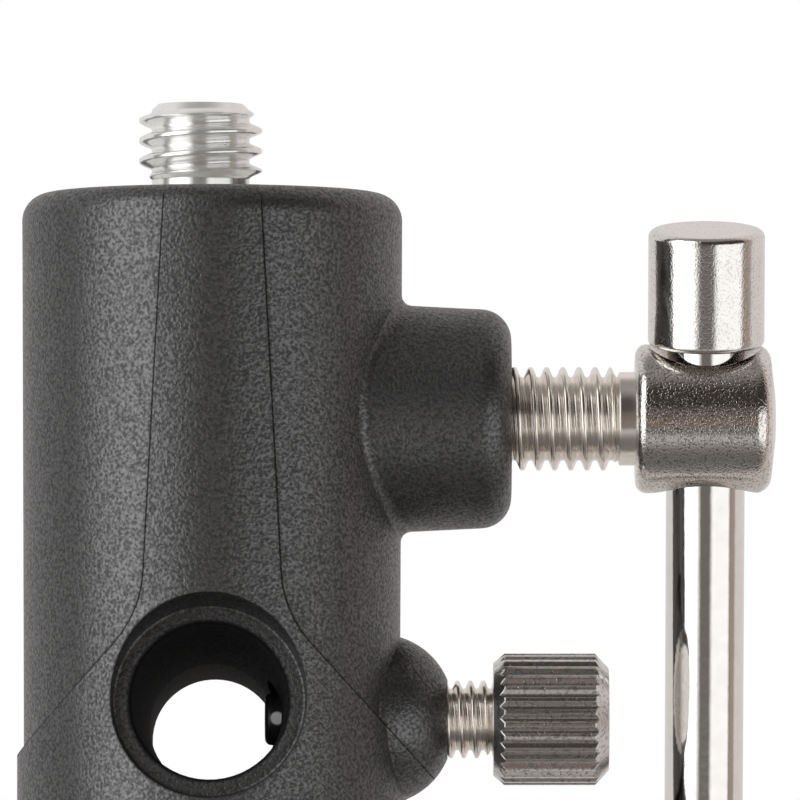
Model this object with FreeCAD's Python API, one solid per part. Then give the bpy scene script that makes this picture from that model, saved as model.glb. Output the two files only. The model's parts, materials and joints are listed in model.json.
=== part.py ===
import FreeCAD, Part
import math
import os

# Umbrella swivel bracket, in millimetres.
# Origin: centre of the stand socket's mouth. +Z is up, +X points to the clamp screws,
# and -Y is the side that the umbrella shaft goes in from.

V = FreeCAD.Vector
ORIGIN = V(0, 0, 0)
X = V(1, 0, 0)
Y = V(0, 1, 0)
Z = V(0, 0, 1)
OVER = 1.0                      # how far a cutter runs past a face

# The two castings
TOTAL_H = 124.0                 # mouth to mouth
PIVOT_Z = 55.3                  # height of the swivel bolt
LUG_R = 16.2
LUG_OUT = 15.3                  # a lug's outer face, from the centre plane
LUG_ROUND_IN = 0.5
DISC_T = 2.4                    # gap for the friction disc between the lugs
LUG_IN = DISC_T / 2
SHOULDER_GAP = 0.8              # between a lug's rim and the other casting's shoulder
SHOULDER_R = LUG_R + SHOULDER_GAP
UPPER_SHOULDER = TOTAL_H - PIVOT_Z - SHOULDER_R
LOWER_SHOULDER = PIVOT_Z - SHOULDER_R
BARREL_R = 14.72                # at the mouth
BARREL_DRAFT = 0.2 / 45         # radius lost per millimetre of depth
RIM_ROUND = 2.1
FOOT_ROUND = 0.75

# The raised die panel, a narrow strip that flares out like a bell near the shoulder
PANEL_R = 14.86
FLARE_R = 15.05
PANEL_HALF = 3.62
PANEL_NECK = 5.43               # half width where the flare starts
FLARE_ABOVE_SHOULDER = 19.0
FLARE_RUN = 11.8                # depth in which the flare reaches the sides
FLARE_HALF = 16.2
FLARE_ROUND = 8.6
PANEL_SHIFT = 0.24

# Sockets
STAND_R = 8.2                   # for a 16 mm (5/8 in) stand spigot
STAND_DEPTH = 32.5
SPIGOT_SOCKET_R = 8.88
SPIGOT_SOCKET_DEPTH = 31.2
MOUTH_CHAMFER = 0.6
DRILL_POINT = 1.5

# Clamp screw bosses
CLAMP_DEPTH = 17.42             # screw axis, from the mouth
BOSS_X0 = 5.7
BOSS_X1 = 23.15
BOSS_R0 = 9.24
BOSS_R1 = 8.37
BOSS_ROUND = 2.4
BOSS_BLEND = 0.8

# Threads: radius, pitch
M8 = (4.0, 1.25)
M6 = (3.0, 1.0)
THREE_EIGHTHS = (4.7625, 25.4 / 16)
QUARTER = (3.175, 25.4 / 20)
THREAD_DEPTH = 0.6134           # times the pitch
CREST = 0.18                    # width of a crest, times the pitch
ROOT = 0.16                     # width of a root, times the pitch
THREAD_CLEAR = 0.05
RUNOUT = 0.2                    # from the last ridge of a thread to a plain length
POINT_BACK = 0.3                # from a stud's end to its first ridge
POINT_IN = 0.2                  # how far inside the root a stud's end face is

# Clamp screws, distances along the screw axis from the casting's centre line
PAD_X0 = 7.1
PAD_X1 = 9.5
PAD_R = 3.2
PAD_ROUND = 0.4
NOSE_R = 1.5
NOSE_X0 = 8.2
NOSE_CLEAR = 0.1
STUD_X0 = 9.6
THREAD_X1 = 31.2
NECK_R = 3.62
NECK_X1 = 34.8
HEAD_X0 = 32.74
HEAD_X1 = 43.57
HEAD_R = 5.76
HEAD_DOME = 0.45                # rise of the head's outer face
HEAD_FLAT_R = 1.8
HEAD_DOME_ROUND = 5.0
HEAD_ROUND_IN = 0.85
HEAD_ROUND_OUT = 1.3
BAR_X = 38.2
BAR_R = 3.05
BAR_CLEAR = 0.1
SINK_R = 4.5                    # countersink where the cross hole leaves the head
KNOB_R = 4.5
KNOB_L = 9.05
KNOB_BORE = 4.8
KNOB_REST = HEAD_R + 0.05       # a knob's inner face, from the screw axis
KNOB_ROUND_IN = 0.45
KNOB_ROUND_OUT = 0.6
BAR_FREE = 38.5                 # bar length between the knobs
UPPER_LEAN = 13.0               # degrees that the bar leans towards -Y
LOWER_LEAN = 4.0
LOWER_BACKED_OFF = 1.3          # the lower screw stands this much further out

# Umbrella socket and its thumbscrew
UMBRELLA_Z = 83.33
UMBRELLA_TILT = 6.2             # degrees that the bore falls towards +Y
RIM_R = 7.77
LEDGE_R = 7.3
BORE_FRONT_R = 6.0
LAND_R = 4.9
BORE_ROUND = 0.4
RIM_S = -14.67                  # positions along the bore, from the centre line
LEDGE_S = -11.72
LAND_S = 4.8
BOSS2_R = 6.6
BOSS2_X1 = 18.65
BOSS2_ROUND = 5.75
TIP_X0 = 4.1
TIP_X1 = 7.15
TIP_R = 2.0
TIP_ROUND = 0.5
TAIL_R = 0.95
TAIL_X1 = 8.8
THUMB_X0 = 7.25
THUMB_X1 = 21.75
THUMB_END = 30.66
THUMB_R = 5.1
THUMB_CHAMFER_IN = (0.75, 0.85) # radius, length
THUMB_CHAMFER_OUT = (1.15, 1.05)
THUMB_IN = 26.7                 # how deep the stud goes into the knob
THUMB_PLAIN_R = M6[0] - 0.1     # the stud inside the knob
KNURLS = 32
KNURL_DEPTH = 0.3
KNURL_HALF_ANGLE = 50.0

# Spigot
SPIGOT_X = -0.91                # pushed to the far side of its socket by the clamp screw
SPIGOT_R = 7.95
SPIGOT_TOP = TOTAL_H - 0.8
SPIGOT_L = 22.0
SPIGOT_CHAMFER = 0.8
BIG_STUD_L = 7.75
SMALL_STUD_L = 7.6
UNDERCUT = 1.0

# Swivel bolt and friction disc
BOLT_HOLE_R = 4.05
HEX_AF = 13.0
HEX_CLEAR = 0.1
HEX_X0 = 7.5
HEX_T = 5.3
HEX_TURNED = (0.4, -0.3)        # turned corners of the bolt head, beyond half the flats
CAP_R = 8.4
CAP_T = 1.8
CAP_ROUND = 0.6
CAP_SEAT_X = 13.2
BOLT_END = 23.3                 # on the lever's side
BOLT_POINT = 0.5
DISC_R = 15.7
DISC_GAP = 0.1

# Ratchet lever, distances outward (-X) from the centre plane
WASHER_U0 = 15.45
WASHER_U1 = 16.95
WASHER_R = 9.5
WASHER_HOLE_R = 4.2
WASHER_ROUND = 0.3
INSERT_U0 = 17.05
COLLAR_U1 = 19.05
COLLAR_R = 6.8
COLLAR_CLEAR = 0.25
TEETH_U0 = 21.7
TEETH_U1 = 25.2
TEETH = 16
TOOTH_ROOT_R = 5.0
TOOTH_TIP_R = 5.6
TOOTH_ROOT_HALF = 0.32          # half widths of a tooth, times the tooth pitch
TOOTH_TIP_HALF = 0.18
TOOTH_CLEAR = 0.1
STEM_R = 3.2
STEM_CLEAR = 0.2
STEM_U1 = 34.9
SCREW_R = 2.0
SCREW_HEAD_R = 5.0
SCREW_HEAD_T = 2.4
SCREW_HEAD_ROUND = 0.6
SCREW_HEX_AF = 3.0
SCREW_HEX_DEPTH = 1.4
SCREW_U0 = 27.1
HUB_U0 = 17.3
HUB_STEP = 4.0
HUB_U1 = 37.7
HUB_R = 9.5
HUB_TOP_R = 7.8
HUB_ROUNDS = {1: 0.8, 2: 6.0, 3: 1.2}
WEB_U0 = 25.4
WEB_U1 = 27.4
CHAMBER_R = 5.4
SPRING_R = 4.3
SPRING_WIRE_R = 0.3
SPRING_TURNS = 4.5
SPRING_GAP = 0.05               # at each end of the spring
# The arm's sections: distance below the bolt, distance outward, half width along Y, half width along X
ARM = ((2.9, 25.8, 5.4, 4.8), (13.3, 27.3, 4.2, 3.8), (26.7, 30.3, 4.7, 3.5),
       (41.9, 33.8, 5.8, 3.3), (51.4, 36.0, 5.2, 2.7), (55.2, 36.9, 3.5, 1.8))


def corner_arc(before, corner, after, radius):
    """The tangent arc that rounds a 2-D corner, as its start, middle and end."""
    a = (before - corner).normalize()
    b = (after - corner).normalize()
    half = a.getAngle(b) / 2
    reach = radius / math.tan(half)
    centre = corner + (a + b).normalize() * (radius / math.sin(half))
    middle = centre + (corner - centre).normalize() * radius
    return corner + a * reach, middle, corner + b * reach


def outline(points, rounds):
    """A closed face in the XZ plane; rounds maps a corner's index to its radius."""
    corners = [V(p[0], 0, p[1]) for p in points]
    count = len(corners)
    stops = []
    for i, corner in enumerate(corners):
        if i in rounds:
            stops.append(corner_arc(corners[i - 1], corner, corners[(i + 1) % count], rounds[i]))
        else:
            stops.append((corner, None, corner))
    edges = []
    for i, (start, middle, end) in enumerate(stops):
        if middle is not None:
            edges.append(Part.Arc(start, middle, end).toShape())
        following = stops[(i + 1) % count][0]
        if end.distanceToPoint(following) > 1e-6:
            edges.append(Part.makeLine(end, following))
    return Part.Face(Part.Wire(edges))


def turned(points, base=ORIGIN, axis=Z, rounds=None):
    """A turned solid from (radius, distance along the axis) points."""
    solid = outline(points, rounds or {}).revolve(ORIGIN, Z, 360)
    solid.Placement = FreeCAD.Placement(base, FreeCAD.Rotation(Z, axis))
    return solid


def rod(radius, start, end, base=ORIGIN, axis=Z):
    return Part.makeCylinder(radius, end - start, base + axis * start, axis)


def rings(thread, start, end):
    """Thread crests as (radius, along) points, centred between start and end."""
    radius, pitch = thread
    root_r = radius - THREAD_DEPTH * pitch
    flank = pitch * (1 - CREST - ROOT) / 2
    count = int((end - start) / pitch)
    first = start + (end - start - count * pitch + ROOT * pitch) / 2
    points = []
    for turn in range(count):
        low = first + turn * pitch
        high = low + 2 * flank + CREST * pitch
        points += [(root_r, low), (radius, low + flank), (radius, high - flank), (root_r, high)]
    return points


def hexagon(across_flats, start, end, base, axis):
    reach = across_flats / math.sqrt(3)
    corners = [V(reach * math.cos(k * math.pi / 3), reach * math.sin(k * math.pi / 3), start)
               for k in range(6)]
    prism = Part.Face(Part.makePolygon(corners + corners[:1])).extrude(Z * (end - start))
    prism.Placement = FreeCAD.Placement(base, FreeCAD.Rotation(Z, axis))
    return prism


def one_solid(shape):
    shape = shape.removeSplitter()
    assert len(shape.Solids) == 1 and shape.isValid()
    return shape.Solids[0]


# Castings, built mouth down with the mouth at z = 0

def die_panel(shoulder):
    flare = shoulder - FLARE_ABOVE_SHOULDER
    full = flare + FLARE_RUN
    right = [(PANEL_HALF, -OVER), (PANEL_NECK, flare), (FLARE_HALF, full), (FLARE_HALF, shoulder + OVER)]
    left = [(-x, z) for x, z in reversed(right)]
    bell = outline(right + left, {1: FLARE_ROUND, 6: FLARE_ROUND})
    bell.translate(V(PANEL_SHIFT, -2 * BARREL_R, 0))
    skin = turned([(0, 0), (PANEL_R, 0), (FLARE_R, full), (FLARE_R, shoulder), (0, shoulder)],
                  rounds={1: RIM_ROUND, 3: FOOT_ROUND})
    return skin.common(bell.extrude(Y * 4 * BARREL_R))


def casting(side, shoulder, pivot, socket_r, socket_depth):
    barrel_end = BARREL_R - BARREL_DRAFT * shoulder
    body = turned([(0, 0), (BARREL_R, 0), (barrel_end, shoulder), (0, shoulder)],
                  rounds={1: RIM_ROUND, 2: FOOT_ROUND})
    clamp_base = V(0, 0, CLAMP_DEPTH)
    boss = turned([(0, BOSS_X0), (BOSS_R0, BOSS_X0), (BOSS_R1, BOSS_X1), (0, BOSS_X1)],
                  clamp_base, X, {2: BOSS_ROUND})
    body = body.fuse(boss)
    seam = [edge for edge in body.Edges
            if BOSS_X0 + OVER < edge.BoundBox.XMin and edge.BoundBox.XMax < BARREL_R + OVER
            and edge.BoundBox.YLength > BOSS_R1 / 2 and edge.BoundBox.ZLength > BOSS_R1 / 2]
    body = body.makeFillet(BOSS_BLEND, seam)
    body = body.fuse(die_panel(shoulder))

    lug_axis = X * side
    pivot_base = V(0, 0, pivot)
    column = rod(FLARE_R, shoulder - 2 * FOOT_ROUND, pivot)
    half = Part.makeBox(2 * LUG_OUT, 4 * LUG_R, 2 * pivot, V(LUG_IN, -2 * LUG_R, 0))
    if side < 0:
        half = half.mirror(ORIGIN, X)
    lug = turned([(0, LUG_IN), (LUG_R, LUG_IN), (LUG_R, LUG_OUT), (0, LUG_OUT)],
                 pivot_base, lug_axis, {1: LUG_ROUND_IN, 2: RIM_ROUND})
    body = body.fuse(column.common(half)).fuse(lug)

    socket = turned([(0, -OVER), (socket_r + MOUTH_CHAMFER + OVER, -OVER), (socket_r, MOUTH_CHAMFER),
                     (socket_r, socket_depth), (0, socket_depth + DRILL_POINT)])
    screw_hole = turned([(0, 0), (M8[0] + THREAD_CLEAR, 0), (M8[0] + THREAD_CLEAR, BOSS_X1 - MOUTH_CHAMFER),
                         (M8[0] + MOUTH_CHAMFER + OVER, BOSS_X1 + OVER), (0, BOSS_X1 + OVER)], clamp_base, X)
    bolt_hole = rod(BOLT_HOLE_R, 0, LUG_OUT + OVER, pivot_base, lug_axis)
    return body.cut(socket).cut(screw_hole).cut(bolt_hole)


def make_lower_body():
    body = casting(1, LOWER_SHOULDER, PIVOT_Z, STAND_R, STAND_DEPTH)
    base = V(0, 0, PIVOT_Z)
    hex_recess = hexagon(HEX_AF + 2 * HEX_CLEAR, HEX_X0, CAP_SEAT_X, base, X)
    cap_recess = rod(CAP_R + HEX_CLEAR, CAP_SEAT_X, LUG_OUT + OVER, base, X)
    return one_solid(body.cut(hex_recess).cut(cap_recess))


def bore_axis():
    tilt = math.radians(UMBRELLA_TILT)
    return V(0, math.cos(tilt), -math.sin(tilt))


def make_upper_body():
    body = casting(-1, UPPER_SHOULDER, TOTAL_H - PIVOT_Z, SPIGOT_SOCKET_R, SPIGOT_SOCKET_DEPTH)
    body.rotate(ORIGIN, X, 180)
    body.translate(Z * TOTAL_H)
    base = V(0, 0, UMBRELLA_Z)
    root_x = BARREL_R - BOSS2_R
    dome = turned([(0, root_x), (BOSS2_R, root_x), (BOSS2_R, BOSS2_X1), (0, BOSS2_X1)],
                  base, X, {2: BOSS2_ROUND})
    past = 2 * BARREL_R
    bore = turned([(0, -past), (RIM_R + OVER, -past), (RIM_R, RIM_S), (LEDGE_R, LEDGE_S),
                   (BORE_FRONT_R, LEDGE_S), (LAND_R, LAND_S), (LAND_R, past), (0, past)],
                  base, bore_axis(), {4: BORE_ROUND})
    screw_hole = rod(M6[0] + THREAD_CLEAR, 0, BOSS2_X1 + OVER, base, X)
    return one_solid(body.fuse(dome).cut(bore).cut(screw_hole))


# Spigot

def make_spigot():
    bottom = SPIGOT_TOP - SPIGOT_L
    small_end = bottom - SMALL_STUD_L
    big_end = SPIGOT_TOP + BIG_STUD_L
    small_r = QUARTER[0] - THREAD_DEPTH * QUARTER[1]
    big_r = THREE_EIGHTHS[0] - THREAD_DEPTH * THREE_EIGHTHS[1]
    points = [(0, small_end), (small_r - POINT_IN, small_end)]
    points += rings(QUARTER, small_end + POINT_BACK, bottom - UNDERCUT)
    points += [(small_r, bottom), (SPIGOT_R - SPIGOT_CHAMFER, bottom), (SPIGOT_R, bottom + SPIGOT_CHAMFER),
               (SPIGOT_R, SPIGOT_TOP - SPIGOT_CHAMFER), (SPIGOT_R - SPIGOT_CHAMFER, SPIGOT_TOP),
               (big_r, SPIGOT_TOP)]
    points += rings(THREE_EIGHTHS, SPIGOT_TOP + UNDERCUT, big_end - POINT_BACK)
    points += [(big_r - POINT_IN, big_end), (0, big_end)]
    return turned(points, X * SPIGOT_X)


# Clamp screws, built with the screw along +X and the bar along +Z, both through the origin

def make_pad():
    pad = turned([(0, PAD_X0), (PAD_R, PAD_X0), (PAD_R, PAD_X1), (0, PAD_X1)], axis=X, rounds={1: PAD_ROUND})
    return pad.cut(rod(NOSE_R + NOSE_CLEAR, NOSE_X0 - 2 * NOSE_CLEAR, PAD_X1 + OVER, axis=X))


def make_clamp_stud():
    root_r = M8[0] - THREAD_DEPTH * M8[1]
    points = [(0, NOSE_X0), (NOSE_R, NOSE_X0), (NOSE_R, STUD_X0), (root_r, STUD_X0)]
    points += rings(M8, STUD_X0, THREAD_X1)
    points += [(NECK_R, THREAD_X1 + RUNOUT), (NECK_R, NECK_X1), (0, NECK_X1)]
    return turned(points, axis=X)


def make_clamp_head():
    head = turned([(0, HEAD_X0), (HEAD_R, HEAD_X0), (HEAD_R, HEAD_X1 - HEAD_DOME), (HEAD_FLAT_R, HEAD_X1),
                   (0, HEAD_X1)], axis=X, rounds={1: HEAD_ROUND_IN, 2: HEAD_ROUND_OUT, 3: HEAD_DOME_ROUND})
    head = head.cut(rod(NECK_R, HEAD_X0 - OVER, NECK_X1, axis=X))
    hole_r = BAR_R + BAR_CLEAR
    sink_depth = SINK_R - hole_r
    hole = [(0, -HEAD_R - OVER), (SINK_R + OVER, -HEAD_R - OVER), (hole_r, sink_depth - HEAD_R),
            (hole_r, HEAD_R - sink_depth), (SINK_R + OVER, HEAD_R + OVER), (0, HEAD_R + OVER)]
    return one_solid(head.cut(turned(hole, X * BAR_X)))


def make_bar_knob(direction):
    """A knob; direction is +1 for the one above the head and -1 for the one below."""
    inner = KNOB_REST if direction > 0 else BAR_FREE - KNOB_REST
    knob = turned([(0, inner), (KNOB_R, inner), (KNOB_R, inner + KNOB_L), (0, inner + KNOB_L)],
                  X * BAR_X, Z * direction, {1: KNOB_ROUND_IN, 2: KNOB_ROUND_OUT})
    return knob.cut(rod(BAR_R, inner - OVER, inner + KNOB_BORE, X * BAR_X, Z * direction))


def make_clamp_screw(prefix, lean, out, height):
    reach_up = KNOB_REST + KNOB_BORE
    reach_down = KNOB_REST - BAR_FREE - KNOB_BORE
    pieces = {
        "clamp_pad": make_pad(),
        "clamp_stud": make_clamp_stud(),
        "clamp_head": make_clamp_head(),
        "t_bar_rod": rod(BAR_R, reach_down, reach_up, X * BAR_X),
        "t_bar_top_knob": make_bar_knob(1),
        "t_bar_bottom_knob": make_bar_knob(-1),
    }
    for shape in pieces.values():
        shape.rotate(ORIGIN, X, lean)
        shape.translate(V(out, 0, height))
    return {prefix + name: shape for name, shape in pieces.items()}


# Umbrella thumbscrew

def make_thumb_knob(base):
    in_r, in_x = THUMB_CHAMFER_IN
    out_r, out_x = THUMB_CHAMFER_OUT
    knob = turned([(0, THUMB_X1), (THUMB_R - in_r, THUMB_X1), (THUMB_R, THUMB_X1 + in_x),
                   (THUMB_R, THUMB_END - out_x), (THUMB_R - out_r, THUMB_END), (0, THUMB_END)], base, X)
    half = KNURL_DEPTH * math.tan(math.radians(KNURL_HALF_ANGLE)) * 2
    deep = THUMB_R - KNURL_DEPTH
    length = THUMB_END - THUMB_X1 + 2 * OVER
    grooves = []
    for k in range(KNURLS):
        corners = [V(THUMB_X1 - OVER, 0, deep), V(THUMB_X1 - OVER, half, deep + 2 * KNURL_DEPTH),
                   V(THUMB_X1 - OVER, -half, deep + 2 * KNURL_DEPTH)]
        groove = Part.Face(Part.makePolygon(corners + corners[:1])).extrude(X * length)
        groove.rotate(ORIGIN, X, k * 360 / KNURLS)
        groove.translate(base)
        grooves.append(groove)
    return one_solid(knob.cut(grooves).cut(rod(THUMB_PLAIN_R, THUMB_X1 - OVER, THUMB_IN, base, X)))


def make_thumbscrew():
    base = V(0, 0, UMBRELLA_Z)
    tip = turned([(0, TIP_X0), (TIP_R, TIP_X0), (TIP_R, TIP_X1), (TAIL_R, TIP_X1), (TAIL_R, TAIL_X1),
                  (0, TAIL_X1)], base, X, {1: TIP_ROUND})
    root_r = M6[0] - THREAD_DEPTH * M6[1]
    points = [(0, THUMB_X0), (root_r, THUMB_X0)]
    points += rings(M6, THUMB_X0, THUMB_X1 - RUNOUT)
    points += [(THUMB_PLAIN_R, THUMB_X1 - RUNOUT / 2), (THUMB_PLAIN_R, THUMB_IN), (0, THUMB_IN)]
    tail_hole = rod(TAIL_R + NOSE_CLEAR, THUMB_X0 - OVER, TAIL_X1 + 2 * NOSE_CLEAR, base, X)
    return {
        "umbrella_screw_tip": tip,
        "umbrella_screw_stud": turned(points, base, X).cut(tail_hole),
        "umbrella_screw_knob": make_thumb_knob(base),
    }


# Swivel bolt

def make_swivel_hardware():
    base = V(0, 0, PIVOT_Z)
    root_r = M8[0] - THREAD_DEPTH * M8[1]
    points = [(0, -HEX_X0), (M8[0], -HEX_X0), (M8[0], LUG_IN)]
    points += rings(M8, LUG_IN, BOLT_END - BOLT_POINT)
    points += [(root_r, BOLT_END), (0, BOLT_END)]
    shank = turned(points, base, -X)
    head = hexagon(HEX_AF, HEX_X0, HEX_X0 + HEX_T, base, X)
    flat = HEX_AF / 2
    hex_end = HEX_X0 + HEX_T
    dish = turned([(0, HEX_X0 - OVER), (flat + 2 * OVER, HEX_X0 - OVER),
                   (flat + HEX_TURNED[0], hex_end - OVER), (flat + HEX_TURNED[1], hex_end), (0, hex_end)],
                  base, X)
    cap = turned([(0, CAP_SEAT_X), (CAP_R, CAP_SEAT_X), (CAP_R, CAP_SEAT_X + CAP_T), (0, CAP_SEAT_X + CAP_T)],
                 base, X, {2: CAP_ROUND})
    disc = rod(DISC_R, DISC_GAP - LUG_IN, LUG_IN, base, X)
    return {
        "pivot_bolt": one_solid(shank.fuse(head.common(dish))),
        "pivot_bolt_cap": cap,
        "friction_disc": disc.cut(rod(BOLT_HOLE_R, -LUG_OUT, LUG_OUT, base, X)),
    }


# Ratchet lever

def toothed(tip_r, root_r, widen, start, end, base):
    """A straight spline prism along -X; widen is added to each side of a tooth."""
    step = 2 * math.pi / TEETH
    corners = []
    for k in range(TEETH):
        for radius, offset in ((root_r, -TOOTH_ROOT_HALF), (tip_r, -TOOTH_TIP_HALF), (tip_r, TOOTH_TIP_HALF),
                               (root_r, TOOTH_ROOT_HALF)):
            angle = k * step + offset * step + math.copysign(widen / radius, offset)
            corners.append(V(radius * math.cos(angle), radius * math.sin(angle), start))
    prism = Part.Face(Part.makePolygon(corners + corners[:1])).extrude(Z * (end - start))
    prism.Placement = FreeCAD.Placement(base, FreeCAD.Rotation(Z, -X))
    return prism


def paddle(base):
    """The lever's arm: ellipses lofted along a line that leans away from the casting."""
    sections = []
    for down, out, half_y, half_x in ARM:
        ring = Part.Wire([Part.Ellipse(ORIGIN, half_y, half_x).toShape()])
        ring.rotate(ORIGIN, Z, 90)
        ring.translate(base + V(-out, 0, -down))
        sections.append(ring)
    return Part.makeLoft(sections, True)


def make_lever():
    base = V(0, 0, PIVOT_Z)
    out = -X
    washer = turned([(WASHER_HOLE_R, WASHER_U0), (WASHER_R, WASHER_U0), (WASHER_R, WASHER_U1),
                     (WASHER_HOLE_R, WASHER_U1)], base, out, {1: WASHER_ROUND, 2: WASHER_ROUND})

    insert = turned([(0, INSERT_U0), (COLLAR_R, INSERT_U0), (COLLAR_R, COLLAR_U1),
                     (TOOTH_ROOT_R, COLLAR_U1), (TOOTH_ROOT_R, TEETH_U1), (STEM_R, TEETH_U1),
                     (STEM_R, STEM_U1), (0, STEM_U1)], base, out)
    insert = insert.fuse(toothed(TOOTH_TIP_R, TOOTH_ROOT_R, 0, TEETH_U0, TEETH_U1, base))
    insert = insert.cut(rod(M8[0] + THREAD_CLEAR, INSERT_U0 - OVER, BOLT_END + BOLT_POINT, base, out))
    insert = insert.cut(rod(SCREW_R, SCREW_U0, STEM_U1 + OVER, base, out))

    screw_end = STEM_U1 + SCREW_HEAD_T
    screw = turned([(0, SCREW_U0), (SCREW_R, SCREW_U0), (SCREW_R, STEM_U1), (SCREW_HEAD_R, STEM_U1),
                    (SCREW_HEAD_R, screw_end), (0, screw_end)], base, out, {4: SCREW_HEAD_ROUND})
    screw = screw.cut(hexagon(SCREW_HEX_AF, screw_end - SCREW_HEX_DEPTH, screw_end + OVER, base, out))

    hub = turned([(0, HUB_U0), (HUB_R, HUB_U0), (HUB_R, HUB_U0 + HUB_STEP), (HUB_TOP_R, HUB_U1), (0, HUB_U1)],
                 base, out, HUB_ROUNDS)
    handle = hub.fuse(paddle(base))
    handle = handle.cut(rod(COLLAR_R + 2 * TOOTH_CLEAR, HUB_U0 - OVER, COLLAR_U1 + COLLAR_CLEAR, base, out))
    handle = handle.cut(rod(TOOTH_TIP_R + TOOTH_CLEAR, HUB_U0, TEETH_U0 + 2 * TOOTH_CLEAR, base, out))
    handle = handle.cut(toothed(TOOTH_TIP_R + TOOTH_CLEAR, TOOTH_ROOT_R + TOOTH_CLEAR, TOOTH_CLEAR,
                                TEETH_U0, WEB_U0, base))
    handle = handle.cut(rod(STEM_R + STEM_CLEAR, HUB_U0, HUB_U1, base, out))
    handle = handle.cut(rod(CHAMBER_R, WEB_U1, HUB_U1 + OVER, base, out))

    coil_start = WEB_U1 + SPRING_WIRE_R + SPRING_GAP
    coil_length = STEM_U1 - WEB_U1 - 2 * (SPRING_WIRE_R + SPRING_GAP)
    coil = Part.makeHelix(coil_length / SPRING_TURNS, coil_length, SPRING_R)
    section = Part.Wire([Part.makeCircle(SPRING_WIRE_R, V(SPRING_R, 0, 0), Y)])
    spring = Part.Wire(coil.Edges).makePipeShell([section], True, True)
    spring.Placement = FreeCAD.Placement(base + out * coil_start, FreeCAD.Rotation(Z, out))
    return {
        "lever_washer": washer,
        "lever_insert": one_solid(insert),
        "lever_screw": one_solid(screw),
        "lever_spring": spring,
        "lever_handle": one_solid(handle),
    }


def make_parts():
    parts = {
        "lower_body": make_lower_body(),
        "upper_body": make_upper_body(),
        "reversible_spigot": make_spigot(),
    }
    parts.update(make_clamp_screw("upper_", UPPER_LEAN, 0, TOTAL_H - CLAMP_DEPTH))
    parts.update(make_clamp_screw("lower_", LOWER_LEAN, LOWER_BACKED_OFF, CLAMP_DEPTH))
    parts.update(make_thumbscrew())
    parts.update(make_swivel_hardware())
    parts.update(make_lever())
    return parts


os.makedirs("parts", exist_ok=True)
for name, shape in make_parts().items():
    print(name, round(shape.Volume, 2), shape.isValid(), len(shape.Solids))
    shape.exportStep("parts/" + name + ".step")
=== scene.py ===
import json
import math

import bpy
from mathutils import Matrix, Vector


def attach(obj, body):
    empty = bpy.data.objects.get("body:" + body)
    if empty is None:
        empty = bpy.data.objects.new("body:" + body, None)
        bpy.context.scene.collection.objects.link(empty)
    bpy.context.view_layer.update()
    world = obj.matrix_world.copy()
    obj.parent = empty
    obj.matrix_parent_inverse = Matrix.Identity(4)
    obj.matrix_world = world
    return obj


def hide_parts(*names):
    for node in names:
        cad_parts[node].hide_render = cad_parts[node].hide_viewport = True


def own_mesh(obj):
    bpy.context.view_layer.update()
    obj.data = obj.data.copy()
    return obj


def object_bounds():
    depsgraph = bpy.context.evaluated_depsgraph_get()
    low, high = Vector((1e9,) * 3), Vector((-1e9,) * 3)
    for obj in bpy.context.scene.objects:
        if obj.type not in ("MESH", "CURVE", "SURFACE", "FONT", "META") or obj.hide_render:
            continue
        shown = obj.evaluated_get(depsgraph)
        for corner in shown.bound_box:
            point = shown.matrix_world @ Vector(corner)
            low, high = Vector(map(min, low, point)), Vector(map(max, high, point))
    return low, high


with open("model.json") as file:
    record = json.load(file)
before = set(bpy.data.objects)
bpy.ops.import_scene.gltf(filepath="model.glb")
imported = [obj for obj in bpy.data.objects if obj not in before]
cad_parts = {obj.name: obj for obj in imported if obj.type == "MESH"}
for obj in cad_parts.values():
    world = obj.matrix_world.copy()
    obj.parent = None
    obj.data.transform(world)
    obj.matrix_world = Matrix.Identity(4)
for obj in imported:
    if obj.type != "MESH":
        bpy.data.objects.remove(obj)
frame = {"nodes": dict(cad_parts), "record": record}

# Umbrella swivel bracket, in metres, in the CAD model's frame. The lengths named below are in millimetres,
# except the camera's and the floor's, which are in metres.
cad_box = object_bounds()
MM = 0.001

# Camera: level with the bracket's middle, so it looks up a little at the top of it
FIELD_WIDTH = 0.06192
CAMERA_DISTANCE = 0.81
CLIP = (0.05, 20.0)
TARGET = Vector((0.01454, 0, 0.10804))
ELEVATION = -2.4                # degrees above the target
SENSOR = 36.0                   # Blender counts the sensor and the lens in millimetres

# Floor
FLOOR_DROP = 0.004              # the floor lies this far under the lowest piece
FLOOR_HALF = 4.0                # half the floor's side
FLOOR_GREY = 0.86
FLOOR_ROUGH = 0.9
FLOOR_GLOW = 0.28               # keeps the floor pale under the soft light

# Threads: radius, pitch
M8 = (4.0, 1.25)
M6 = (3.0, 1.0)
THREE_EIGHTHS = (4.7625, 25.4 / 16)
QUARTER = (3.175, 25.4 / 20)
THREAD_DEPTH = 0.6134           # times the pitch
CREST_HALF = 0.07               # half width of a crest, times the pitch
ROOT_HALF = 0.07
ROWS_PER_PITCH = 20
TOUCH = 0.001                   # distances this close count as the same
FADE = 0.4                      # the thread grows to its full height in this many turns
SHARP_ANGLE = math.radians(42)

# Clamp screws, distances along the screw axis
CLAMP_Z = {"upper": 106.58, "lower": 17.42}
CLAMP_OUT = {"upper": 0.0, "lower": 1.3}
NOSE = (8.2, 1.5)               # distance of its end, radius
STUD_START = 9.6
STUD_LEAD = 0.2                 # plain length before the thread starts
CLAMP_THREAD_END = 31.35
CLAMP_NECK_RISE = 0.15
CLAMP_NECK = (34.8, 3.62)       # distance of its end, radius
CLAMP_PHASE = 28.06             # distance of a crest, as are the other phases
CLAMP_STEPS = 72                # round the axis, as are the other steps

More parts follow.
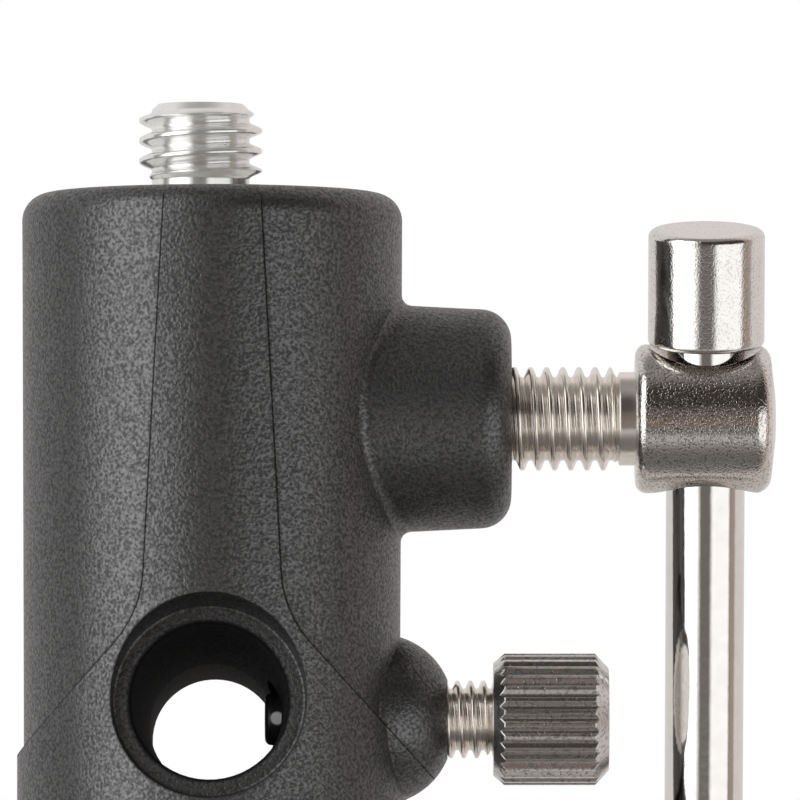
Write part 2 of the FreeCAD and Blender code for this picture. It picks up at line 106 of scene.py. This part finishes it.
# Umbrella thumbscrew
THUMB_Z = 83.33
THUMB_START = 7.25
THUMB_TAIL = (8.9, 1.05)        # bottom of the blind hole for the tip's pin, radius
THUMB_THREAD_END = 21.6
THUMB_SHANK_RISE = 0.1
THUMB_SHANK = (26.7, 2.9)       # distance of its end, radius
THUMB_PHASE = 19.72
THUMB_STEPS = 64
# Centre and radius, in mm, of a white spot painted on the tip as a highlight
TIP_HIGHLIGHT = (5.05, -1.95, 83.4)
TIP_HIGHLIGHT_R = 0.5

# Spigot
SPIGOT_X = -0.91
SPIGOT_R = 7.95
SPIGOT_TOP = 123.2
SPIGOT_BOTTOM = 101.2
SPIGOT_CHAMFER = 0.8
SPIGOT_STEPS = 96
BIG_STUD = (125.1, 130.95, 3.3)         # start of the thread, top, radius of the flat end
BIG_CHAMFER = 0.45
BIG_PHASE = 127.33
SMALL_STUD = (93.6, 100.4, 2.2)         # bottom, end of the thread, radius of the flat end
SMALL_CHAMFER = 0.3
SMALL_PHASE = 97.0

# Lever spring: start and end along the bolt, turns, coil radius, wire radius
LEVER_Z = 55.3
SPRING = (27.75, 34.55, 4.5, 4.3, 0.3)
SPRING_STEPS = 40
SPRING_SIDES = 12

# The castings' raised die panel: half width at a depth from the mouth
TOTAL_H = 124.0
PANEL_CENTRE = 0.25
PANEL_HALF = 3.67
PANEL_SLOPE = 0.0537
BEND_START = 29.63
BEND_END = 34.97
BEND_R = 8.6
FLARE_SLOPE = 0.913
PANEL_DEPTH_MAX = 48.0          # where the ramps that hold the outline end
PANEL_HALF_MAX = 18.0
PANEL_SKIN_R = 14.3             # the line is only on the outside of the barrel
BEND_STEPS = 8
LINE_DARK = 0.10                # half width of the groove, darkened with painted shade
LINE_HIGHLIGHT = 0.22               # outer edge of the painted highlight beside it

# The umbrella bore, rougher inside and darkened with painted shade
BORE_Z = 83.33
BORE_TILT = math.radians(6.2)
BORE_SHADE_R = (6.1, 6.5)        # painted shade within the first radius, plain coat outside the second

# Rolled-over edges, radius
CAST_EDGE = 0.3
MOULD_EDGE = 0.2
PLATE_EDGE = 0.15
BEVEL_SAMPLES = 6

# Powder coat
COAT_SHINE = 0.85               # the share of the coat's colour that shows in its gloss, not under it
COAT_MOTTLE = [(0.34, 0.0), (0.66, 1.0)]
COAT_PATCH = 6                  # size of the broad unevenness, times the grain
COAT_PATCH_DEPTH = 0.5          # its depth, times the grain's
COAT_ROUGH_RISE = 0.10          # roughness added between the tops of the grain
COAT_ROUGH_FALL = 0.16          # roughness lost from there to a top
# The groove's grey is painted shade in the crease and the grey beside it is a painted highlight, along the
# die panel's edge
GROOVE_SHADE_SHARE = 0.65
GROOVE_SHADE_GREY = 0.0005
GROOVE_SINK = 0.7               # depth of the groove, times the grain's
HIGHLIGHT_SHARE = 0.35
HIGHLIGHT_GREY = 0.06
# Painted shade inside the umbrella bore
BORE_SHADE_GREY = 0.02
BARE_ROUGH = 0.5                # roughness added in the groove and in the bore

# Bright plate; a bump is 0 to 1, and scales the depth of its marks
PEEL_BUMP = 0.6
PIT_BUMP = 0.7
STREAK_BUMP = 0.5
PEEL_SIZE = 1.1
PEEL_DEPTH = 0.012
PEEL_SHADE = 0.86
PEEL_ROUGH = 0.06
PIT_RIM = 0.52
PIT_EDGE = [(0.36, 0.0), (0.45, 1.0)]   # where the plate is stained dark, and where it is clean
STREAK_SIZE = 0.4

# Turned metal
TURNING_SIZE = 0.33
TURNING_STRETCH = (1.0, 0.15, 0.15)     # the marks are fine along x and long across it
TURNING_DEPTH = 0.01
TURNING_BUMP = 0.4
TURNING_ROUGH = 0.2
TARNISH_SIZE = 3.3
TARNISH_SHADE = 0.7

# The thumbscrew's tip
OIL_SIZE = 0.6
OIL_GREY = (0.010, 0.030)
OIL_DEPTH = 0.02
OIL_BUMP = 0.4
OIL_ROUGH = 0.2
TIP_ROUGH = 0.3
HIGHLIGHT_EDGE = [(0.42, 1.0), (0.56, 0.0)]  # 0.5 is the painted highlight's radius

# Moulded plastic and fibre
MOULD_GRAIN = 0.2
MOULD_DEPTH = 0.03
MOULD_BUMP = 0.5
MOULD_PATCH = 2.0
MOULD_ROUGH_RISE = 0.15
MOULD_ROUGH_FALL = 0.08
MOULD_SHADE = 1.6


# Node trees

def rgba(colour):
    if isinstance(colour, (int, float)):
        colour = (colour, colour, colour)
    return (*colour, 1)


class Tree:
    """A node tree, with short calls for the nodes that the materials and the world are made of."""

    def __init__(self, owner):
        owner.use_nodes = True
        self.nodes = owner.node_tree.nodes
        self.links = owner.node_tree.links

    def link(self, output, socket):
        self.links.new(output, socket)

    def node(self, kind, **settings):
        made = self.nodes.new("ShaderNode" + kind)
        for key, value in settings.items():
            if key in made.inputs:
                made.inputs[key].default_value = value
            else:
                setattr(made, key, value)
        return made

    def math(self, operation, *values):
        made = self.node("Math", operation=operation)
        for socket, value in zip(made.inputs, values):
            if isinstance(value, (int, float)):
                socket.default_value = value
            else:
                self.link(value, socket)
        return made.outputs[0]

    def length(self, *parts):
        squares = [self.math("MULTIPLY", part, part) for part in parts]
        return self.math("SQRT", self.math("ADD", *squares))

    def mix(self, factor, first, second):
        """A colour mix by a factor socket; first and second are each a socket, a grey or a colour."""
        made = self.node("Mix", data_type="RGBA")
        for name, value in (("Factor", factor), ("A", first), ("B", second)):
            socket = next(s for s in made.inputs if s.name == name and s.enabled)
            if isinstance(value, bpy.types.NodeSocket):
                self.link(value, socket)
            else:
                socket.default_value = rgba(value)
        return next(s for s in made.outputs if s.enabled)

    def ramp(self, value, stops):
        """A colour ramp; stops are (position, grey or colour)."""
        made = self.node("ValToRGB")
        elements = made.color_ramp.elements
        while len(elements) < len(stops):
            elements.new(1.0)
        for element, (position, colour) in zip(elements, stops):
            element.position = position
            element.color = rgba(colour)
        self.link(value, made.inputs["Fac"])
        return made.outputs["Color"]

    def split(self, vector):
        made = self.node("SeparateXYZ")
        self.link(vector, made.inputs[0])
        return made.outputs

    def object_coords(self):
        return self.node("TexCoord").outputs["Object"]

    def noise(self, size, detail=2.0, stretch=None):
        """Object-space noise with features of about this size in mm; stretch scales each axis."""
        coords = self.object_coords()
        if stretch is not None:
            mapping = self.node("Mapping", Scale=stretch)
            self.link(coords, mapping.inputs["Vector"])
            coords = mapping.outputs[0]
        made = self.node("TexNoise", Scale=1 / (size * MM), Detail=detail)
        self.link(coords, made.inputs["Vector"])
        return made.outputs["Fac"]

    def bump(self, height, strength, depth, normal):
        """A bump of this depth in mm."""
        made = self.node("Bump", Strength=strength, Distance=depth * MM)
        self.link(height, made.inputs["Height"])
        self.link(normal, made.inputs["Normal"])
        return made.outputs["Normal"]

    def soft_edges(self, radius):
        """A normal that rolls over sharp edges, as a cast or plated edge does."""
        return self.node("Bevel", samples=BEVEL_SAMPLES, Radius=radius * MM).outputs["Normal"]


def new_material(name):
    made = bpy.data.materials.new(name)
    tree = Tree(made)
    return made, tree, tree.nodes["Principled BSDF"]


# Materials

def panel_half(depth):
    """Half width of the die panel at a depth from the casting's mouth."""
    if depth <= BEND_START:
        return PANEL_HALF + PANEL_SLOPE * depth
    start = math.atan(PANEL_SLOPE)
    end = math.atan(FLARE_SLOPE)
    sine = min(math.sin(start) + (depth - BEND_START) / BEND_R, math.sin(end))
    bent = panel_half(BEND_START) + BEND_R * (math.cos(start) - math.cos(math.asin(sine)))
    return bent + FLARE_SLOPE * max(depth - BEND_END, 0)


def parting_line(tree, upper):
    """How far a point is from the die panel's edge: (groove darkened with painted shade, painted highlight
    beside it), each 0 to 1.
    """
    x, y, z = tree.split(tree.object_coords())
    share = 1 / (PANEL_DEPTH_MAX * MM)
    if upper:
        depth = tree.math("MULTIPLY_ADD", z, -share, TOTAL_H / PANEL_DEPTH_MAX)
    else:
        depth = tree.math("MULTIPLY", z, share)
    bend = [BEND_START + k * (BEND_END - BEND_START) / BEND_STEPS for k in range(BEND_STEPS + 1)]
    depths = [0, *bend, PANEL_DEPTH_MAX]
    half = tree.ramp(depth, [(d / PANEL_DEPTH_MAX, panel_half(d) / PANEL_HALF_MAX) for d in depths])
    side = tree.math("ABSOLUTE", tree.math("SUBTRACT", x, PANEL_CENTRE * MM))
    away = tree.math("SUBTRACT", side, tree.math("MULTIPLY", half, PANEL_HALF_MAX * MM))
    # A ramp runs from 0 to 1, so the edge itself is at 0.5 and a millimetre is 1
    scaled = tree.math("MULTIPLY_ADD", away, 1 / MM, 0.5)
    groove_end = 0.5 + LINE_DARK
    highlight_end = 0.5 + LINE_HIGHLIGHT
    # The groove's ramp carries painted shade; the ramp beside it is a painted highlight
    groove = tree.ramp(scaled, [(0.5 - LINE_DARK, 0.0), (0.5, 1.0), (groove_end, 0.0)])
    edge_highlight = tree.ramp(scaled, [(groove_end, 0.0), ((groove_end + highlight_end) / 2, 1.0), (highlight_end, 0.0)])
    outside = tree.math("GREATER_THAN", tree.length(x, y), PANEL_SKIN_R * MM)
    return tree.math("MULTIPLY", groove, outside), tree.math("MULTIPLY", edge_highlight, outside)


def bore_mask(tree):
    """1 inside the umbrella bore, 0 elsewhere."""
    along_bore = tree.node("Mapping", vector_type="TEXTURE", Location=(0, 0, BORE_Z * MM),
                           Rotation=(-BORE_TILT, 0, 0))
    tree.link(tree.object_coords(), along_bore.inputs["Vector"])
    x, _, z = tree.split(along_bore.outputs[0])
    reach = 10                  # the ramp's length in millimetres
    near, far = BORE_SHADE_R
    radius = tree.math("MULTIPLY", tree.length(x, z), 1 / (reach * MM))
    return tree.ramp(radius, [(near / reach, 1.0), (far / reach, 0.0)])


def powder_coat(name, dark, light, grain, depth, rough, panel=None):
    """Textured powder coat: a fine mottled grain with glossier tops. panel is upper, lower or None; a panel's
    edge gets painted shade and a painted highlight, and upper gets painted shade in the bore.
    """
    made, tree, shader = new_material(name)
    mottle = tree.ramp(tree.noise(grain, 1.5), COAT_MOTTLE)
    patches = tree.noise(grain * COAT_PATCH)
    colour = tree.mix(mottle, dark, light)
    height = tree.math("MULTIPLY_ADD", patches, COAT_PATCH_DEPTH, mottle)
    coarse = tree.math("MULTIPLY_ADD", mottle, -COAT_ROUGH_FALL, rough + COAT_ROUGH_RISE)
    if panel is not None:
        groove, edge_highlight = parting_line(tree, panel == "upper")
        # Painted shade in the groove and a painted highlight beside it
        colour = tree.mix(tree.math("MULTIPLY", groove, GROOVE_SHADE_SHARE), colour, GROOVE_SHADE_GREY)
        colour = tree.mix(tree.math("MULTIPLY", edge_highlight, HIGHLIGHT_SHARE), colour, HIGHLIGHT_GREY)
        height = tree.math("MULTIPLY_ADD", groove, -GROOVE_SINK, height)
        coarse = tree.math("MULTIPLY_ADD", groove, BARE_ROUGH, coarse)
    if panel == "upper":
        bore = bore_mask(tree)
        # Painted shade inside the umbrella bore, which is also rougher
        colour = tree.mix(bore, colour, BORE_SHADE_GREY)
        coarse = tree.math("MULTIPLY_ADD", bore, BARE_ROUGH, coarse)
    tree.link(colour, shader.inputs["Base Color"])
    tree.link(coarse, shader.inputs["Roughness"])
    tree.link(tree.bump(height, 1.0, depth, tree.soft_edges(CAST_EDGE)), shader.inputs["Normal"])
    shader.inputs["Metallic"].default_value = COAT_SHINE
    return made


def plated(name, base, rough, pits=None, streak=None, marks=0.006, shine=1.0):
    """Bright plate with a soft orange peel.

    pits is (size, depth, softness of their edges, shade of their stain). streak stretches marks, and marks
    is their depth.
    """
    made, tree, shader = new_material(name)
    shader.inputs["Metallic"].default_value = shine
    peel = tree.noise(PEEL_SIZE)
    colour = tree.mix(peel, base, [c * PEEL_SHADE for c in base])
    coarse = tree.math("MULTIPLY_ADD", peel, PEEL_ROUGH, rough - PEEL_ROUGH / 2)
    normal = tree.bump(peel, PEEL_BUMP, PEEL_DEPTH, tree.soft_edges(PLATE_EDGE))
    if pits is not None:
        size, depth, softness, stain = pits
        pocks = tree.noise(size, 1.0)
        specks = tree.ramp(pocks, [(0.5 - softness, 0.0), (PIT_RIM, 1.0)])
        clean = tree.ramp(pocks, PIT_EDGE)
        normal = tree.bump(specks, PIT_BUMP, depth, normal)
        colour = tree.mix(clean, [c * stain for c in base], colour)
    if streak is not None:
        lines = tree.noise(STREAK_SIZE, stretch=streak)
        normal = tree.bump(lines, STREAK_BUMP, marks, normal)
    tree.link(colour, shader.inputs["Base Color"])
    tree.link(coarse, shader.inputs["Roughness"])
    tree.link(normal, shader.inputs["Normal"])
    return made


def plain_metal(name, base, rough):
    """Turned or zinc-plated metal with fine machining marks."""
    made, tree, shader = new_material(name)
    shader.inputs["Metallic"].default_value = 1.0
    marks = tree.noise(TURNING_SIZE, stretch=TURNING_STRETCH)
    tarnish = tree.noise(TARNISH_SIZE)
    colour = tree.mix(tarnish, base, [c * TARNISH_SHADE for c in base])
    coarse = tree.math("MULTIPLY_ADD", marks, TURNING_ROUGH, rough - TURNING_ROUGH / 2)
    normal = tree.bump(marks, TURNING_BUMP, TURNING_DEPTH, tree.soft_edges(PLATE_EDGE))
    tree.link(colour, shader.inputs["Base Color"])
    tree.link(coarse, shader.inputs["Roughness"])
    tree.link(normal, shader.inputs["Normal"])
    return made


def tip_with_painted_highlight(name):
    """Dark oiled steel, with one painted highlight: a bright white spot on the tip."""
    made, tree, shader = new_material(name)
    oil = tree.noise(OIL_SIZE)
    distance = tree.node("VectorMath", operation="DISTANCE")
    tree.link(tree.object_coords(), distance.inputs[0])
    distance.inputs[1].default_value = [c * MM for c in TIP_HIGHLIGHT]
    scaled = tree.math("MULTIPLY", distance.outputs["Value"], 1 / (2 * TIP_HIGHLIGHT_R * MM))
    painted_highlight = tree.ramp(scaled, HIGHLIGHT_EDGE)
    # The white spot is a painted highlight
    colour = tree.mix(painted_highlight, tree.mix(oil, *OIL_GREY), 1.0)
    coarse = tree.math("MULTIPLY_ADD", oil, OIL_ROUGH, TIP_ROUGH)
    normal = tree.bump(oil, OIL_BUMP, OIL_DEPTH, tree.soft_edges(PLATE_EDGE))
    tree.link(colour, shader.inputs["Base Color"])
    tree.link(coarse, shader.inputs["Roughness"])
    tree.link(normal, shader.inputs["Normal"])
    return made


def moulded(name, base, rough):
    """Moulded plastic or pressed fibre: a fine, soft grain."""
    made, tree, shader = new_material(name)
    grain = tree.noise(MOULD_GRAIN, 3.0)
    patches = tree.noise(MOULD_PATCH)
    colour = tree.mix(patches, base, [c * MOULD_SHADE for c in base])
    coarse = tree.math("MULTIPLY_ADD", patches, MOULD_ROUGH_RISE, rough - MOULD_ROUGH_FALL)
    normal = tree.bump(grain, MOULD_BUMP, MOULD_DEPTH, tree.soft_edges(MOULD_EDGE))
    tree.link(colour, shader.inputs["Base Color"])
    tree.link(coarse, shader.inputs["Roughness"])
    tree.link(normal, shader.inputs["Normal"])
    return made


COAT = {side: powder_coat(side + "_cast_coat", 0.068, 0.158, 0.25, 0.018, 0.39, side)
        for side in ("upper", "lower")}
HEAD_PLATE = plated("head_plate", (0.80, 0.76, 0.72), 0.11, pits=(0.18, 0.012, 0.12, 0.5))
BAR_PLATE = plated("bar_plate", (0.84, 0.81, 0.78), 0.09, streak=(1.0, 1.0, 0.05))
KNOB_PLATE = plated("bar_knob_plate", (0.84, 0.81, 0.78), 0.09, pits=(0.17, 0.005, 0.15, 0.72))
STUD_PLATE = plated("clamp_stud_plate", (0.96, 0.91, 0.85), 0.19,
                    streak=(1.0, 0.04, 0.04), marks=0.014, shine=0.97)
KNURL_PLATE = plated("knurl_plate", (0.76, 0.74, 0.72), 0.20,
                     pits=(0.30, 0.016, 0.2, 0.7), streak=(0.05, 1.0, 1.0))

FINISH = {
    "lever_black": powder_coat("lever_black_coat", 0.035, 0.065, 0.20, 0.020, 0.34),
    "nickel": STUD_PLATE,
    "nickel_knurl": KNURL_PLATE,
    "spigot_plate": plated("spigot_plate", (1.0, 1.0, 0.98), 0.15, shine=0.68),
    "brass": plain_metal("turned_brass", (0.80, 0.62, 0.32), 0.25),
    "steel": plain_metal("zinc_steel", (0.60, 0.60, 0.61), 0.30),
    "spring_steel": plain_metal("spring_wire", (0.50, 0.50, 0.52), 0.28),
    "black_plastic": moulded("black_plastic", (0.022, 0.022, 0.024), 0.50),
    "friction_fibre": moulded("friction_fibre", (0.085, 0.080, 0.075), 0.85),
}
OWN_FINISH = {
    "upper_body": COAT["upper"],
    "lower_body": COAT["lower"],
    "umbrella_screw_tip": tip_with_painted_highlight("thumbscrew_tip_steel"),
}
for prefix in ("upper_", "lower_"):
    OWN_FINISH[prefix + "clamp_head"] = HEAD_PLATE
    OWN_FINISH[prefix + "t_bar_rod"] = BAR_PLATE
    OWN_FINISH[prefix + "t_bar_top_knob"] = KNOB_PLATE
    OWN_FINISH[prefix + "t_bar_bottom_knob"] = KNOB_PLATE


def set_material(piece, made):
    piece.data.materials.clear()
    piece.data.materials.append(made)


def finish_of(part):
    return OWN_FINISH.get(part["node"]) or FINISH[part["material_slot"]]


def add_piece(name, points, faces, part, body):
    """A mesh piece, from points in mm, that stands for a CAD node and rides on its body."""
    mesh = bpy.data.meshes.new(name)
    mesh.from_pydata([p * MM for p in points], [], faces)
    mesh.shade_smooth()
    mesh.set_sharp_from_angle(angle=SHARP_ANGLE)
    piece = bpy.data.objects.new(name, mesh)
    bpy.context.scene.collection.objects.link(piece)
    set_material(piece, finish_of(part))
    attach(piece, body)
    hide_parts(part["node"])
    return piece


# Threaded pieces, each a turned grid whose radius also follows a right-handed helix

def crest_height(turns):
    """Height of a thread from root to crest, 0 to 1, at a distance in turns from a crest."""
    away = abs(turns - round(turns))
    rise = (0.5 - ROOT_HALF - away) / (0.5 - ROOT_HALF - CREST_HALF)
    rise = min(max(rise, 0), 1)
    return rise * rise * (3 - 2 * rise)


def threaded(name, part, body, thread_runs, outline, base, across, up, along, steps):
    """A closed turned mesh.

    outline is (distance along the axis, radius) points. thread_runs are (thread, start, end, distance of a
    crest), and a stretch of the outline within one of them carries that thread.
    """
    rows = []
    for (s0, r0), (s1, r1) in zip(outline, outline[1:]):
        run = next((t for t in thread_runs if t[1] - TOUCH <= s0 < s1 <= t[2] + TOUCH), None)
        count = max(1, round(abs(s1 - s0) / run[0][1] * ROWS_PER_PITCH)) if run else 1
        for k in range(count):
            share = k / count
            rows.append((s0 + (s1 - s0) * share, r0 + (r1 - r0) * share, run))
    rows.append((*outline[-1], None))
    points = []
    for s, root, run in rows:
        for j in range(steps):
            angle = 2 * math.pi * j / steps
            radius = root
            if run is not None:
                (outer, pitch), start, end, phase = run
                fade = min((s - start) / (FADE * pitch), (end - s) / (FADE * pitch), 1)
                tall = crest_height((s - phase) / pitch - j / steps) * max(fade, 0)
                radius = root + (outer - root) * tall
            outward = across * (radius * math.cos(angle)) + up * (radius * math.sin(angle))
            points.append(base + along * s + outward)
    faces = []
    for i in range(len(rows) - 1):
        for j in range(steps):
            k = (j + 1) % steps
            faces.append((i * steps + j, i * steps + k, (i + 1) * steps + k, (i + 1) * steps + j))
    for i, s in ((0, rows[0][0]), (len(rows) - 1, rows[-1][0])):
        centre = len(points)
        points.append(base + along * s)
        for j in range(steps):
            k = (j + 1) % steps
            rim = (i * steps + j, i * steps + k)
            faces.append((centre, rim[1], rim[0]) if i == 0 else (centre, *rim))
    return add_piece(name, points, faces, part, body)


def root_radius(thread):
    return thread[0] - THREAD_DEPTH * thread[1]


def build_threads(parts):
    across_x = (Vector((0, 1, 0)), Vector((0, 0, 1)), Vector((1, 0, 0)))
    across_z = (Vector((1, 0, 0)), Vector((0, 1, 0)), Vector((0, 0, 1)))

    root = root_radius(M8)
    start = STUD_START + STUD_LEAD
    outline = [NOSE, (STUD_START, NOSE[1]), (STUD_START, root), (start, root), (CLAMP_THREAD_END, root),
               (CLAMP_THREAD_END + CLAMP_NECK_RISE, CLAMP_NECK[1]), CLAMP_NECK]
    threads = [(M8, start, CLAMP_THREAD_END, CLAMP_PHASE)]
    for side in ("upper", "lower"):
        base = Vector((CLAMP_OUT[side], 0, CLAMP_Z[side]))
        threaded(side + "_stud_threaded", parts[side + "_clamp_stud"], side + "_screw", threads, outline,
                 base, *across_x, CLAMP_STEPS)

    root = root_radius(M6)
    outline = [THUMB_TAIL, (THUMB_START, THUMB_TAIL[1]), (THUMB_START, root), (THUMB_THREAD_END, root),
               (THUMB_THREAD_END + THUMB_SHANK_RISE, THUMB_SHANK[1]), THUMB_SHANK]
    threads = [(M6, THUMB_START, THUMB_THREAD_END, THUMB_PHASE)]
    threaded("umbrella_stud_threaded", parts["umbrella_screw_stud"], "umbrella_screw", threads, outline,
             Vector((0, 0, THUMB_Z)), *across_x, THUMB_STEPS)

    small_root, big_root = root_radius(QUARTER), root_radius(THREE_EIGHTHS)
    small_bottom, small_end, small_flat = SMALL_STUD
    big_start, big_top, big_flat = BIG_STUD
    small_start = small_bottom + SMALL_CHAMFER
    big_end = big_top - BIG_CHAMFER
    chamfered = SPIGOT_R - SPIGOT_CHAMFER
    outline = [(small_bottom, small_flat), (small_start, small_root), (small_end, small_root),
               (SPIGOT_BOTTOM, small_root), (SPIGOT_BOTTOM, chamfered),
               (SPIGOT_BOTTOM + SPIGOT_CHAMFER, SPIGOT_R), (SPIGOT_TOP - SPIGOT_CHAMFER, SPIGOT_R),
               (SPIGOT_TOP, chamfered), (SPIGOT_TOP, big_root), (big_start, big_root),
               (big_end, big_root), (big_top, big_flat)]
    threads = [(QUARTER, small_start, small_end, SMALL_PHASE), (THREE_EIGHTHS, big_start, big_end, BIG_PHASE)]
    threaded("spigot_threaded", parts["reversible_spigot"], "spigot", threads, outline,
             Vector((SPIGOT_X, 0, 0)), *across_z, SPIGOT_STEPS)


# The lever's spring: a fixed coil on the lever's core, which does not close up as the handle lifts

def build_spring(part):
    start, end, turns, radius, wire = SPRING
    count = round(turns * SPRING_STEPS)
    points = []
    for i in range(count + 1):
        angle = 2 * math.pi * i / SPRING_STEPS
        outward = Vector((0, math.cos(angle), math.sin(angle)))
        middle = Vector((-(start + (end - start) * i / count), 0, LEVER_Z)) + outward * radius
        for j in range(SPRING_SIDES):
            around = 2 * math.pi * j / SPRING_SIDES
            sideways = Vector((wire * math.sin(around), 0, 0))
            points.append(middle + outward * (wire * math.cos(around)) + sideways)
    first = range(SPRING_SIDES)
    last = range(count * SPRING_SIDES, (count + 1) * SPRING_SIDES)
    faces = [tuple(first), tuple(reversed(last))]
    for i in range(count):
        for j in range(SPRING_SIDES):
            k = (j + 1) % SPRING_SIDES
            a, b = i * SPRING_SIDES, (i + 1) * SPRING_SIDES
            faces.append((a + k, a + j, b + j, b + k))
    piece = add_piece("spring_coiled", points, faces, part, "lever_core")
    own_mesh(piece)


# Stage: a pale floor, a white backdrop and, for reflections only, soft boxes and dark cards

def build_floor():
    z = cad_box[0].z - FLOOR_DROP
    corners = [(x * FLOOR_HALF, y * FLOOR_HALF, z) for x, y in ((-1, -1), (1, -1), (1, 1), (-1, 1))]
    mesh = bpy.data.meshes.new("floor")
    mesh.from_pydata(corners, [], [(0, 1, 2, 3)])
    floor = bpy.data.objects.new("floor", mesh)
    floor.visible_glossy = False
    bpy.context.scene.collection.objects.link(floor)
    made, _, shader = new_material("floor_white")
    shader.inputs["Base Color"].default_value = rgba(FLOOR_GREY)
    shader.inputs["Roughness"].default_value = FLOOR_ROUGH
    shader.inputs["Emission Color"].default_value = rgba(1)
    shader.inputs["Emission Strength"].default_value = FLOOR_GLOW
    set_material(floor, made)


# What the plating sees. Azimuths are in degrees to the right of the camera's side; heights go from 0,
# straight down, through 0.5, level, to 1, straight up. A box is (brightness, azimuths, heights).
DARK = (0.050, 0.042, 0.038)
BROWN = (0.40, 0.33, 0.29)
PALE = (0.76, 0.72, 0.705)
TAUPE = (0.75, 0.735, 0.73)
SIDE_WALLS = [
    (-180, PALE), (-162, TAUPE), (-101, TAUPE), (-94, DARK), (-88, DARK),
    (80, BROWN), (96, BROWN), (102, PALE), (180, PALE),
]
FRONT_SHARE = [(-96, 0.0), (-88, 1.0), (79, 1.0), (83, 0.0)]
FRONT_COLUMN = [
    (0.00, (0.17, 0.165, 0.16)), (0.067, (0.155, 0.150, 0.145)), (0.117, (0.21, 0.20, 0.19)),
    (0.179, (0.38, 0.37, 0.36)), (0.205, (0.50, 0.49, 0.47)), (0.25, (0.50, 0.49, 0.47)),
    (0.285, (0.17, 0.16, 0.15)), (0.40, (0.18, 0.17, 0.16)), (0.42, (0.26, 0.15, 0.11)),
    (0.45, (0.24, 0.14, 0.10)), (0.47, (0.14, 0.13, 0.12)), (0.58, (0.13, 0.12, 0.11)),
    (0.66, DARK), (0.86, DARK), (0.96, (0.22, 0.20, 0.19)), (0.99, (0.45, 0.42, 0.40)),
    (1.0, (0.48, 0.45, 0.43)),
]
LEFT_BOX = (2.2, [(-84, 0.0), (-68, 1.0), (-34, 1.0), (-15, 0.0)],
            [(0.24, 0.0), (0.30, 1.0), (0.90, 1.0), (0.94, 0.0)])
RIGHT_BOX = (1.25, [(12, 0.0), (22, 1.0), (73, 1.0), (80, 0.0)],
             [(0.20, 0.0), (0.25, 1.0), (0.52, 1.0), (0.62, 0.0)])
OVERHEAD = (0.28, 0.27, 0.26)
OVERHEAD_EDGE = [(0.92, 0.0), (0.99, 1.0)]
BACK_FLOOR = (0.60, 0.57, 0.55)
BACK_FLOOR_TOP = [(0.28, 1.0), (0.36, 0.0)]
BACK_FLOOR_FRONT = [(0.50, 0.0), (0.58, 1.0)]   # 0 is the camera's side, 1 is behind the object


def build_world():
    world = bpy.data.worlds.new("studio")
    tree = Tree(world)
    tree.nodes.clear()
    x, y, z = tree.split(tree.node("TexCoord").outputs["Generated"])
    azimuth = tree.math("ARCTAN2", x, tree.math("MULTIPLY", y, -1.0))
    turn = tree.math("MULTIPLY_ADD", azimuth, 0.5 / math.pi, 0.5)
    height = tree.math("MULTIPLY_ADD", z, 0.5, 0.5)
    depth = tree.math("MULTIPLY_ADD", y, 0.5, 0.5)
    # A ramp's colours stop at 1, so they are kept as shares of the brightest box
    peak = max(LEFT_BOX[0], RIGHT_BOX[0])

    def scaled(colour):
        return [c / peak for c in colour]

    def by_azimuth(stops):
        return tree.ramp(turn, [(angle / 360 + 0.5, value) for angle, value in stops])

    sides = by_azimuth([(angle, scaled(colour)) for angle, colour in SIDE_WALLS])
    column = tree.ramp(height, [(at, scaled(colour)) for at, colour in FRONT_COLUMN])
    around = tree.mix(by_azimuth(FRONT_SHARE), sides, column)
    around = tree.mix(tree.ramp(height, OVERHEAD_EDGE), around, scaled(OVERHEAD))
    behind = tree.ramp(depth, BACK_FLOOR_FRONT)
    below = tree.ramp(height, BACK_FLOOR_TOP)
    around = tree.mix(tree.math("MULTIPLY", behind, below), around, scaled(BACK_FLOOR))
    for light, across, upright in (LEFT_BOX, RIGHT_BOX):
        share = tree.math("MULTIPLY", by_azimuth(across), tree.ramp(height, upright))
        around = tree.mix(share, around, light / peak)

    studio = tree.node("Background", Strength=peak)
    tree.link(around, studio.inputs["Color"])
    backdrop = tree.node("Background", Color=rgba(1))
    either = tree.node("MixShader")
    tree.link(tree.node("LightPath").outputs["Is Camera Ray"], either.inputs[0])
    tree.link(studio.outputs[0], either.inputs[1])
    tree.link(backdrop.outputs[0], either.inputs[2])
    tree.link(either.outputs[0], tree.node("OutputWorld").inputs[0])
    bpy.context.scene.world = world


def build_camera():
    data = bpy.data.cameras.new("camera")
    data.sensor_width = SENSOR
    data.lens = SENSOR * CAMERA_DISTANCE / FIELD_WIDTH
    data.clip_start, data.clip_end = CLIP
    camera = bpy.data.objects.new("camera", data)
    tilt = math.radians(ELEVATION)
    back = Vector((0, -math.cos(tilt), math.sin(tilt)))
    camera.location = TARGET + back * CAMERA_DISTANCE
    camera.rotation_mode = "QUATERNION"
    camera.rotation_quaternion = (-back).to_track_quat("-Z", "Y")
    bpy.context.scene.collection.objects.link(camera)
    bpy.context.scene.camera = camera


PARTS = {part["node"]: part for part in frame["record"]["subparts"]}
for part in PARTS.values():
    set_material(frame["nodes"][part["node"]], finish_of(part))
build_threads(PARTS)
build_spring(PARTS["lever_spring"])
build_floor()
build_world()
build_camera()
bpy.context.scene.view_settings.view_transform = "Standard"
